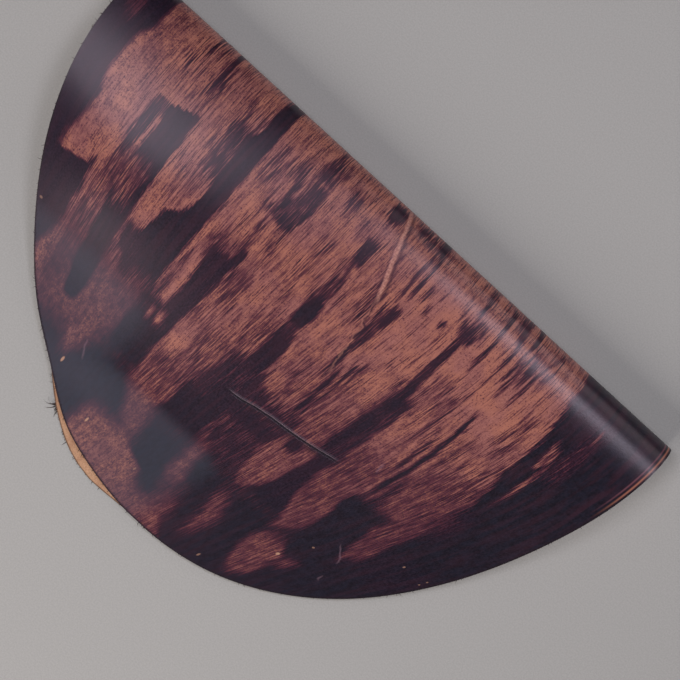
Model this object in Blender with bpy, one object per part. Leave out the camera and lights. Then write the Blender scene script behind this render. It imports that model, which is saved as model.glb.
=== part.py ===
"""One dyed shell of horse leather: an oval piece folded once, softly, with its polished side out.

Metres, +Z up. X runs along the fold. The fold lies on the +Y side and the free edges on the -Y side.
The lower half lies flat on the surface, so its polished side is the plane Z = 0.

A place on the hide is given on the flat leather, in millimetres: "along" is measured along the fold,
and "out" square to it, from the line where the bent leather stands upright. It is positive on the
upper half and negative on the lower one. Both sections below are measured along the bend, so the
leather keeps its flat size where it curves.
"""

from collections import namedtuple

import bpy
import numpy as np

MM = 0.001

# Driving sizes, in millimetres
THICKNESS = 1.5
LAYER_GAP = 0.8
OVAL_CENTRE = -22.0
OVAL_HALF_LENGTH = 245.0
UPPER_DEPTH = 299.0
LOWER_DEPTH = 295.5

# Heights of the middle of the leather where a half lies flat
LOWER_LEVEL = THICKNESS / 2
UPPER_LEVEL = 1.5 * THICKNESS + LAYER_GAP

# How far the cut edge stands out from the oval, by the angle round it. The right end of the fold is
# at 0, the upper half's deepest place near 90 and the lower half's near -90. The lower half's fuller
# place near -102 is the strip that shows beyond the upper half.
EdgePoint = namedtuple("EdgePoint", "angle stands_out")
EDGE = (
    EdgePoint(-180, 3.0),
    EdgePoint(-165, 3.4),
    EdgePoint(-150, 0.4),
    EdgePoint(-136, -4.8),
    EdgePoint(-127, -7.2),
    EdgePoint(-120, -7.6),
    EdgePoint(-115, -6.0),
    EdgePoint(-110, -1.2),
    EdgePoint(-107, 1.6),
    EdgePoint(-102, 4.6),
    EdgePoint(-98, 3.8),
    EdgePoint(-94, 0.0),
    EdgePoint(-89, -2.2),
    EdgePoint(-75, -1.4),
    EdgePoint(-60, -2.3),
    EdgePoint(-45, -4.6),
    EdgePoint(-30, -6.0),
    EdgePoint(-15, -4.5),
    EdgePoint(0, -4.0),
    EdgePoint(15, -3.2),
    EdgePoint(30, -3.8),
    EdgePoint(46, -2.1),
    EdgePoint(60, 0.2),
    EdgePoint(75, 1.0),
    EdgePoint(90, -0.6),
    EdgePoint(98, -0.9),
    EdgePoint(105, -0.4),
    EdgePoint(114, -4.0),
    EdgePoint(124, -1.2),
    EdgePoint(135, 0.5),
    EdgePoint(150, 3.3),
    EdgePoint(164, 5.2),
    EdgePoint(180, 3.0),
)

# The bend at each end of the fold, as the guide points of a smooth curve: how far in from the fold's
# edge, and how high. It starts at the lower half's far edge. The right end is a tight roll, and the
# left end rises on past its roll to a long, low back.
BendPoint = namedtuple("BendPoint", "inset_left height_left inset_right height_right")
BEND = (
    BendPoint(360, LOWER_LEVEL, 360, LOWER_LEVEL),
    BendPoint(300, LOWER_LEVEL, 300, LOWER_LEVEL),
    BendPoint(240, LOWER_LEVEL, 240, LOWER_LEVEL),
    BendPoint(180, LOWER_LEVEL, 180, LOWER_LEVEL),
    BendPoint(120, LOWER_LEVEL, 120, LOWER_LEVEL),
    BendPoint(75, LOWER_LEVEL, 75, LOWER_LEVEL),
    BendPoint(48, LOWER_LEVEL, 48, LOWER_LEVEL),
    BendPoint(30, LOWER_LEVEL, 30, LOWER_LEVEL),
    BendPoint(15, 1.5, 15, 1.5),
    BendPoint(4, 6.5, 4, 6.5),
    BendPoint(-1, 15.0, -1, 15.5),
    BendPoint(3, 24.5, 4, 25.5),
    BendPoint(14, 31.5, 15, 32.0),
    BendPoint(33, 35.0, 31, 33.5),
    BendPoint(60, 37.5, 52, 30.5),
    BendPoint(90, 37.0, 80, 25.0),
    BendPoint(120, 31.5, 115, 17.5),
    BendPoint(152, 22.5, 152, 10.0),
    BendPoint(184, 13.0, 188, 5.0),
    BendPoint(216, 6.0, 222, UPPER_LEVEL),
    BendPoint(250, UPPER_LEVEL, 258, UPPER_LEVEL),
    BendPoint(300, UPPER_LEVEL, 300, UPPER_LEVEL),
    BendPoint(360, UPPER_LEVEL, 360, UPPER_LEVEL),
)
# Between these two places along the fold, the left end's bend turns into the right end's
BEND_CHANGES = (-170.0, 70.0)

# Soft swells that leave the upper half uneven: their middle, their reach and their height
Swell = namedtuple("Swell", "along out reach_along reach_out height")
SWELLS = (
    Swell(-95, 262, 55, 26, 1.6),
    Swell(40, 205, 70, 42, 1.3),
    Swell(125, 175, 48, 60, 1.6),
    Swell(-190, 130, 42, 38, 2.2),
    Swell(-40, 120, 60, 34, -1.6),
)

# How finely the solid is divided
COLUMNS = 34
FLAT_ROWS = 18
ROLL_ROWS = 34
ROLL_STARTS = -36.0
ROLL_ENDS = 52.0
LAST_ROW_ANGLE = 85.5
CURVE_STEPS = 40
SMALL_STEP = 0.5


def clear_scene():
    for item in list(bpy.data.objects):
        bpy.data.objects.remove(item, do_unlink=True)


def eased(share):
    """A step from 0 to 1 that starts and ends level: 3 share^2 - 2 share^3."""
    share = np.clip(share, 0.0, 1.0)
    return share * share * (3.0 - 2.0 * share)


def through_points(place, knots, values):
    """A smooth curve through a table: cubic pieces whose slopes come from the neighbouring points."""
    slopes = np.gradient(values, knots)
    cell = np.clip(np.searchsorted(knots, place) - 1, 0, len(knots) - 2)
    width = knots[cell + 1] - knots[cell]
    share = (place - knots[cell]) / width
    rise = eased(share)
    start = share * (1.0 - share) ** 2
    end = share * share * (share - 1.0)
    level = values[cell] + (values[cell + 1] - values[cell]) * rise
    return level + width * (slopes[cell] * start + slopes[cell + 1] * end)


def guided_curve(guides):
    """The uniform cubic B-spline of the guide points, as dense points from its start to its end."""
    share = np.linspace(0.0, 1.0, CURVE_STEPS, endpoint=False)[:, None]
    weights = (
        (1.0 - share) ** 3 / 6.0,
        (3.0 * share**3 - 6.0 * share**2 + 4.0) / 6.0,
        (-3.0 * share**3 + 3.0 * share**2 + 3.0 * share + 1.0) / 6.0,
        share**3 / 6.0,
    )
    pieces = []
    for first in range(len(guides) - 3):
        pieces.append(sum(weights[i] * guides[first + i] for i in range(4)))
    return np.concatenate(pieces)


def measured_bend(guides):
    """(out, inset, height) along one bend, with out and inset both 0 where the leather is upright."""
    points = guided_curve(guides)
    length = np.hypot(*np.diff(points, axis=0).T)
    out = np.concatenate([[0.0], np.cumsum(length)])
    upright = int(np.argmin(points[:, 0]))
    return out - out[upright], points[:, 0] - points[upright, 0], points[:, 1]


def middle_of_leather(along, out):
    """The middle of the leather's thickness, folded: both ends' bends mixed by the place along."""
    guides = np.array(BEND, float)
    first, last = BEND_CHANGES
    to_right = eased((along - first) / (last - first))
    inset = np.zeros_like(along)
    height = np.zeros_like(along)
    for share, columns in ((1.0 - to_right, guides[:, 0:2]), (to_right, guides[:, 2:4])):
        bend_out, bend_inset, bend_height = measured_bend(columns)
        inset = inset + share * np.interp(out, bend_out, bend_inset)
        height = height + share * np.interp(out, bend_out, bend_height)
    for swell in SWELLS:
        far = ((along - swell.along) / swell.reach_along) ** 2
        far = far + ((out - swell.out) / swell.reach_out) ** 2
        height = height + swell.height * np.exp(-far)
    return np.stack([along, -inset, height], axis=-1)


def polished_side(along, out):
    """The unit direction out of the polished side, square to the folded leather."""
    across = middle_of_leather(along, out + SMALL_STEP) - middle_of_leather(along, out - SMALL_STEP)
    lengthways = middle_of_leather(along + SMALL_STEP, out) - middle_of_leather(along - SMALL_STEP, out)
    normal = np.cross(across, lengthways)
    return normal / np.linalg.norm(normal, axis=-1, keepdims=True)


def cut_edge():
    """The cut edge on the flat leather, as (along, out) points from the left end round to itself."""
    table = np.array(EDGE, float)
    angle = np.radians(np.linspace(-180.0, 180.0, 1441))
    depth = np.where(angle < 0.0, LOWER_DEPTH, UPPER_DEPTH)
    radius = 1.0 / np.hypot(np.cos(angle) / OVAL_HALF_LENGTH, np.sin(angle) / depth)
    radius = radius + through_points(np.degrees(angle), table[:, 0], table[:, 1])
    return np.stack([OVAL_CENTRE + radius * np.cos(angle), radius * np.sin(angle)], axis=-1)


def row_places(lowest, highest):
    """Where the rows lie across the hide: close together round the roll and near both far edges."""
    rows = []
    for depth, roll in ((lowest, ROLL_STARTS), (highest, ROLL_ENDS)):
        near = np.arcsin(roll / depth)
        angles = np.linspace(np.radians(LAST_ROW_ANGLE), near, FLAT_ROWS)
        rows.append(depth * np.sin(angles))
    roll_rows = np.linspace(ROLL_STARTS, ROLL_ENDS, ROLL_ROWS)[1:-1]
    return np.concatenate([rows[0], roll_rows, rows[1][::-1]])


def flat_grid():
    """(along, out) of a grid over the flat hide: rows parallel to the fold, from edge to edge."""
    edge = cut_edge()
    lowest = int(np.argmin(edge[:, 1]))
    highest = int(np.argmax(edge[:, 1]))
    right = edge[lowest : highest + 1]
    left = np.concatenate([edge[highest:-1], edge[: lowest + 1]])[::-1]
    rows = row_places(edge[lowest, 1], edge[highest, 1])
    start = np.interp(rows, left[:, 1], left[:, 0])[:, None]
    end = np.interp(rows, right[:, 1], right[:, 0])[:, None]
    along = start + (end - start) * np.linspace(0.0, 1.0, COLUMNS)[None, :]
    return along, np.repeat(rows[:, None], COLUMNS, axis=1)


def sheet_faces(rows, columns):
    """Faces of a closed sheet whose polished side's points come first and its inner side's second."""
    corner = np.arange(rows * columns).reshape(rows, columns)
    low, high = corner[:-1, :], corner[1:, :]
    polished = np.stack([low[:, :-1], high[:, :-1], high[:, 1:], low[:, 1:]], axis=-1).reshape(-1, 4)
    inner = polished[:, ::-1] + rows * columns
    rim = np.concatenate([corner[0, :], corner[1:, -1], corner[-1, -2::-1], corner[-2:0:-1, 0]])
    following = np.roll(rim, -1)
    wall = np.stack([rim, following, following + rows * columns, rim + rows * columns], axis=-1)
    return np.concatenate([polished, inner, wall])


def leather_material():
    material = bpy.data.materials.new("dyed_horse_leather")
    material.use_nodes = True
    shader = material.node_tree.nodes["Principled BSDF"]
    shader.inputs["Base Color"].default_value = (0.155, 0.062, 0.058, 1.0)
    shader.inputs["Roughness"].default_value = 0.42
    shader.inputs["Metallic"].default_value = 0.0
    return material


def folded_shell():
    along, out = flat_grid()
    middle = middle_of_leather(along, out)
    half = polished_side(along, out) * THICKNESS / 2
    points = np.concatenate([(middle + half).reshape(-1, 3), (middle - half).reshape(-1, 3)])
    corner = (points.min(axis=0) + points.max(axis=0)) / 2
    corner[2] = points[:, 2].min()
    points = (points - corner) * MM
    mesh = bpy.data.meshes.new("leather_shell")
    mesh.from_pydata(points.tolist(), [], sheet_faces(*along.shape).tolist())
    mesh.update()
    mesh.shade_smooth()
    mesh.set_sharp_from_angle(angle=np.radians(40.0))
    mesh.materials.append(leather_material())
    shell = bpy.data.objects.new("leather_shell", mesh)
    bpy.context.scene.collection.objects.link(shell)
    return shell


clear_scene()
folded_shell()
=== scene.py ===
from collections import namedtuple

import bpy
import numpy as np
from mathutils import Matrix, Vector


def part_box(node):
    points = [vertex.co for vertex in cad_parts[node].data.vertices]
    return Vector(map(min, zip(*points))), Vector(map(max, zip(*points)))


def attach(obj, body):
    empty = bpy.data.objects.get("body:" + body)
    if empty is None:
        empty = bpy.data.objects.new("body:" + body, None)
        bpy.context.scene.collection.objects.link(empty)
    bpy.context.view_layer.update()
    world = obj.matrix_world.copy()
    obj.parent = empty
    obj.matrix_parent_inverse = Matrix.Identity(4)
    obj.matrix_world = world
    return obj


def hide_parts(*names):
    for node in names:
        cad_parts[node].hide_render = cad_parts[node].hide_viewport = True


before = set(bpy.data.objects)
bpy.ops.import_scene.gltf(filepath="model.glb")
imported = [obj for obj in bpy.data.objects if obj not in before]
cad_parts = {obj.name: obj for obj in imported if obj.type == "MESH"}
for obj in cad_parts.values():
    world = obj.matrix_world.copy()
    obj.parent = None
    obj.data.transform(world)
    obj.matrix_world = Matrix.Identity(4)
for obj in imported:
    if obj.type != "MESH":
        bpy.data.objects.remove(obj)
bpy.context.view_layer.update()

# The leather shell
# One dense, oil-filled oval of horse leather, 1.5 mm thick, folded once with its polished side out.
# It is split and cut from the hide by hand, so its outline is uneven, and its fold springs open.
# Sizes are in millimetres. "Along" runs with the fold, and "out" square to it over the flat leather,
# from the line where the bent leather stands upright: positive on the upper half.
MM = 0.001
THICKNESS = 1.5
LAYER_GAP = 0.8
OVAL_CENTRE = -22.0
OVAL_HALF_LENGTH = 245.0
UPPER_DEPTH = 299.0
LOWER_DEPTH = 295.5
LOWER_LEVEL = THICKNESS / 2
UPPER_LEVEL = 1.5 * THICKNESS + LAYER_GAP

# How far the cut edge stands out from the oval, by the angle round it in degrees
EDGE = np.array([
    (-180, 3.0), (-165, 3.4), (-150, 0.4), (-136, -4.8), (-127, -7.2), (-120, -7.6), (-115, -6.0),
    (-110, -1.2), (-107, 1.6), (-102, 4.6), (-98, 3.8), (-94, 0.0), (-89, -2.2), (-75, -1.4),
    (-60, -2.3), (-45, -4.6), (-30, -6.0), (-15, -4.5), (0, -4.0), (15, -3.2), (30, -3.8),
    (46, -2.1), (60, 0.2), (75, 1.0), (90, -0.6), (98, -0.9), (105, -0.4), (114, -4.0),
    (124, -1.2), (135, 0.5), (150, 3.3), (164, 5.2), (180, 3.0),
])

# Guide points of the bend: how far in from the fold's edge and how high, at its left and right ends
BEND = np.array([
    (360, LOWER_LEVEL, 360, LOWER_LEVEL),
    (300, LOWER_LEVEL, 300, LOWER_LEVEL),
    (240, LOWER_LEVEL, 240, LOWER_LEVEL),
    (180, LOWER_LEVEL, 180, LOWER_LEVEL),
    (120, LOWER_LEVEL, 120, LOWER_LEVEL),
    (75, LOWER_LEVEL, 75, LOWER_LEVEL),
    (48, LOWER_LEVEL, 48, LOWER_LEVEL),
    (30, LOWER_LEVEL, 30, LOWER_LEVEL),
    (15, 1.5, 15, 1.5),
    (4, 6.5, 4, 6.5),
    (-1, 15.0, -1, 15.5),
    (3, 24.5, 4, 25.5),
    (14, 31.5, 15, 32.0),
    (33, 35.0, 31, 33.5),
    (60, 37.5, 52, 30.5),
    (90, 37.0, 80, 25.0),
    (120, 31.5, 115, 17.5),
    (152, 22.5, 152, 10.0),
    (184, 13.0, 188, 5.0),
    (216, 6.0, 222, UPPER_LEVEL),
    (250, UPPER_LEVEL, 258, UPPER_LEVEL),
    (300, UPPER_LEVEL, 300, UPPER_LEVEL),
    (360, UPPER_LEVEL, 360, UPPER_LEVEL),
])
BEND_CHANGES = (-170.0, 70.0)

# Soft swells of the upper half: along, out, reach along, reach out, height
SWELLS = (
    (-95, 262, 55, 26, 1.6),
    (40, 205, 70, 42, 1.3),
    (125, 175, 48, 60, 1.6),
    (-190, 130, 42, 38, 2.2),
    (-40, 120, 60, 34, -1.6),
)


# How finely the cut edge and the bend are measured, in steps
EDGE_STEPS = 2880
BEND_STEPS = 40


def eased(share):
    """A step from 0 to 1 that starts and ends level: 3 share^2 - 2 share^3."""
    share = np.clip(share, 0.0, 1.0)
    return share * share * (3.0 - 2.0 * share)


def through_points(place, knots, values):
    """A smooth curve through a table: cubic pieces whose slopes come from the neighbouring points."""
    slopes = np.gradient(values, knots)
    cell = np.clip(np.searchsorted(knots, place) - 1, 0, len(knots) - 2)
    width = knots[cell + 1] - knots[cell]
    share = (place - knots[cell]) / width
    start = share * (1.0 - share) ** 2
    end = share * share * (share - 1.0)
    level = values[cell] + (values[cell + 1] - values[cell]) * eased(share)
    return level + width * (slopes[cell] * start + slopes[cell + 1] * end)


def oval_radius(angle):
    """The cut edge's distance from the oval's middle: the ellipse's radius plus the table's unevenness."""
    depth = np.where(angle < 0.0, LOWER_DEPTH, UPPER_DEPTH)
    radius = 1.0 / np.hypot(np.cos(angle) / OVAL_HALF_LENGTH, np.sin(angle) / depth)
    return radius + through_points(np.degrees(angle), EDGE[:, 0], EDGE[:, 1])


def measured_bend(guides):
    """(out, inset, height) along the uniform cubic B-spline of the guides, both 0 where it is upright."""
    share = np.linspace(0.0, 1.0, BEND_STEPS, endpoint=False)[:, None]
    weights = (
        (1.0 - share) ** 3 / 6.0,
        (3.0 * share**3 - 6.0 * share**2 + 4.0) / 6.0,
        (-3.0 * share**3 + 3.0 * share**2 + 3.0 * share + 1.0) / 6.0,
        share**3 / 6.0,
    )
    points = np.concatenate([
        sum(weights[i] * guides[first + i] for i in range(4)) for first in range(len(guides) - 3)
    ])
    out = np.concatenate([[0.0], np.cumsum(np.hypot(*np.diff(points, axis=0).T))])
    upright = int(np.argmin(points[:, 0]))
    return out - out[upright], points[:, 0] - points[upright, 0], points[:, 1]


def middle_of_leather(along, out):
    """The folded leather's middle: the two ends' bends, mixed by an eased share of the way along."""
    to_right = eased((along - BEND_CHANGES[0]) / (BEND_CHANGES[1] - BEND_CHANGES[0]))
    inset = np.zeros_like(along)
    height = np.zeros_like(along)
    for share, columns in ((1.0 - to_right, BEND[:, 0:2]), (to_right, BEND[:, 2:4])):
        bend_out, bend_inset, bend_height = measured_bend(columns)
        inset = inset + share * np.interp(out, bend_out, bend_inset)
        height = height + share * np.interp(out, bend_out, bend_height)
    for swell_along, swell_out, reach_along, reach_out, rise in SWELLS:
        far = ((along - swell_along) / reach_along) ** 2 + ((out - swell_out) / reach_out) ** 2
        height = height + rise * np.exp(-far)
    return np.stack([along, -inset, height], axis=-1)


def polished_side(along, out):
    """The unit direction out of the polished side: the cross product of the two slopes."""
    across = middle_of_leather(along, out + 0.5) - middle_of_leather(along, out - 0.5)
    lengthways = middle_of_leather(along + 0.5, out) - middle_of_leather(along - 0.5, out)
    normal = np.cross(across, lengthways)
    return normal / np.linalg.norm(normal, axis=-1, keepdims=True)


def side_points(along, out, side):
    """Points of the folded leather, half its thickness out of its middle: side is 1 polished, -1 inner."""
    return middle_of_leather(along, out) + polished_side(along, out) * (side * THICKNESS / 2)


# The grid over the flat leather: rows with the fold, closer together on the half that shows
COLUMNS = 281
LOWER_ROWS = 88
UPPER_ROWS = 175
FIRST_ROW = 0.004
ROWS_CROWD = 1.3

angles = np.radians(np.linspace(-180.0, 180.0, EDGE_STEPS + 1))
edge_along = OVAL_CENTRE + oval_radius(angles) * np.cos(angles)
edge_out = oval_radius(angles) * np.sin(angles)
lowest, highest = int(np.argmin(edge_out)), int(np.argmax(edge_out))
left_of_oval = np.concatenate([np.arange(highest, EDGE_STEPS), np.arange(lowest + 1)])[::-1]
lower_share = np.linspace(FIRST_ROW, 1.0, LOWER_ROWS, endpoint=False)
upper_share = np.linspace(1.0, FIRST_ROW, UPPER_ROWS)
rows = np.concatenate([
    edge_out[lowest] * (1.0 - lower_share**ROWS_CROWD),
    edge_out[highest] * (1.0 - upper_share**ROWS_CROWD),
])
row_start = np.interp(rows, edge_out[left_of_oval], edge_along[left_of_oval])[:, None]
row_end = np.interp(rows, edge_out[lowest:highest + 1], edge_along[lowest:highest + 1])[:, None]
grid_along = row_start + (row_end - row_start) * np.linspace(0.0, 1.0, COLUMNS)[None, :]
grid_out = np.repeat(rows[:, None], COLUMNS, axis=1)
inner_along, inner_out = grid_along[::2, ::2], grid_out[::2, ::2]

points = np.concatenate([
    side_points(grid_along, grid_out, 1).reshape(-1, 3),
    side_points(inner_along, inner_out, -1).reshape(-1, 3),
])
box_low, box_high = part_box("leather_shell")
design_centre = (points.min(axis=0) + points.max(axis=0)) / 2
design_centre[2] = points[:, 2].min()
row_centre = (np.array(box_low) + np.array(box_high)) / 2
row_centre[2] = box_low[2]


def in_row_frame(places):
    """Millimetres of the folded leather to metres of the row frame."""
    return (places - design_centre) * MM + row_centre


def rim_of(corner):
    """The indices round the border of a grid, in the order of its corners."""
    return np.concatenate([corner[0, :], corner[1:, -1], corner[-1, -2::-1], corner[-2:0:-1, 0]])


def grid_quads(corner):
    """The four corners of each cell of a grid."""
    low, high = corner[:-1, :], corner[1:, :]
    return np.stack([low[:, :-1], high[:, :-1], high[:, 1:], low[:, 1:]], axis=-1).reshape(-1, 4)


outer_corner = np.arange(grid_along.size).reshape(grid_along.shape)
inner_corner = grid_along.size + np.arange(inner_along.size).reshape(inner_along.shape)
outer_faces = grid_quads(outer_corner)
inner_faces = grid_quads(inner_corner)[:, ::-1]
outer_rim, inner_rim = rim_of(outer_corner), rim_of(inner_corner)
wall_faces = np.stack([
    outer_rim[0::2], outer_rim[1::2], np.roll(outer_rim, -2)[0::2],
    np.roll(inner_rim, -1), inner_rim,
], axis=-1)

shell_mesh = bpy.data.meshes.new("leather_shell_dressed")
shell_mesh.from_pydata(
    in_row_frame(points).tolist(),
    [],
    outer_faces.tolist() + inner_faces.tolist() + wall_faces.tolist(),
)
shell_mesh.polygons.foreach_set("material_index", np.concatenate([
    np.zeros(len(outer_faces), np.int32),
    np.ones(len(inner_faces), np.int32),
    np.full(len(wall_faces), 2, np.int32),
]))
shell_mesh.update()
shell_mesh.shade_smooth()
shell_mesh.set_sharp_from_angle(angle=np.radians(50.0))

# The dye, brushed on by hand in strokes square to the fold: plum and blue-black ink over copper brown.
# A place across the strokes is "lane", which spreads as the strokes do away from the fold.
LANE_START = -117.0
LANE_ROW = 11.0
LANE_SPREAD = 416.0
every_along = np.concatenate([grid_along.ravel(), inner_along.ravel()])
every_out = np.concatenate([grid_out.ravel(), inner_out.ravel()])
lane = (every_along - LANE_START) * np.exp(((every_out - LANE_ROW) / LANE_SPREAD) ** 2)

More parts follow.
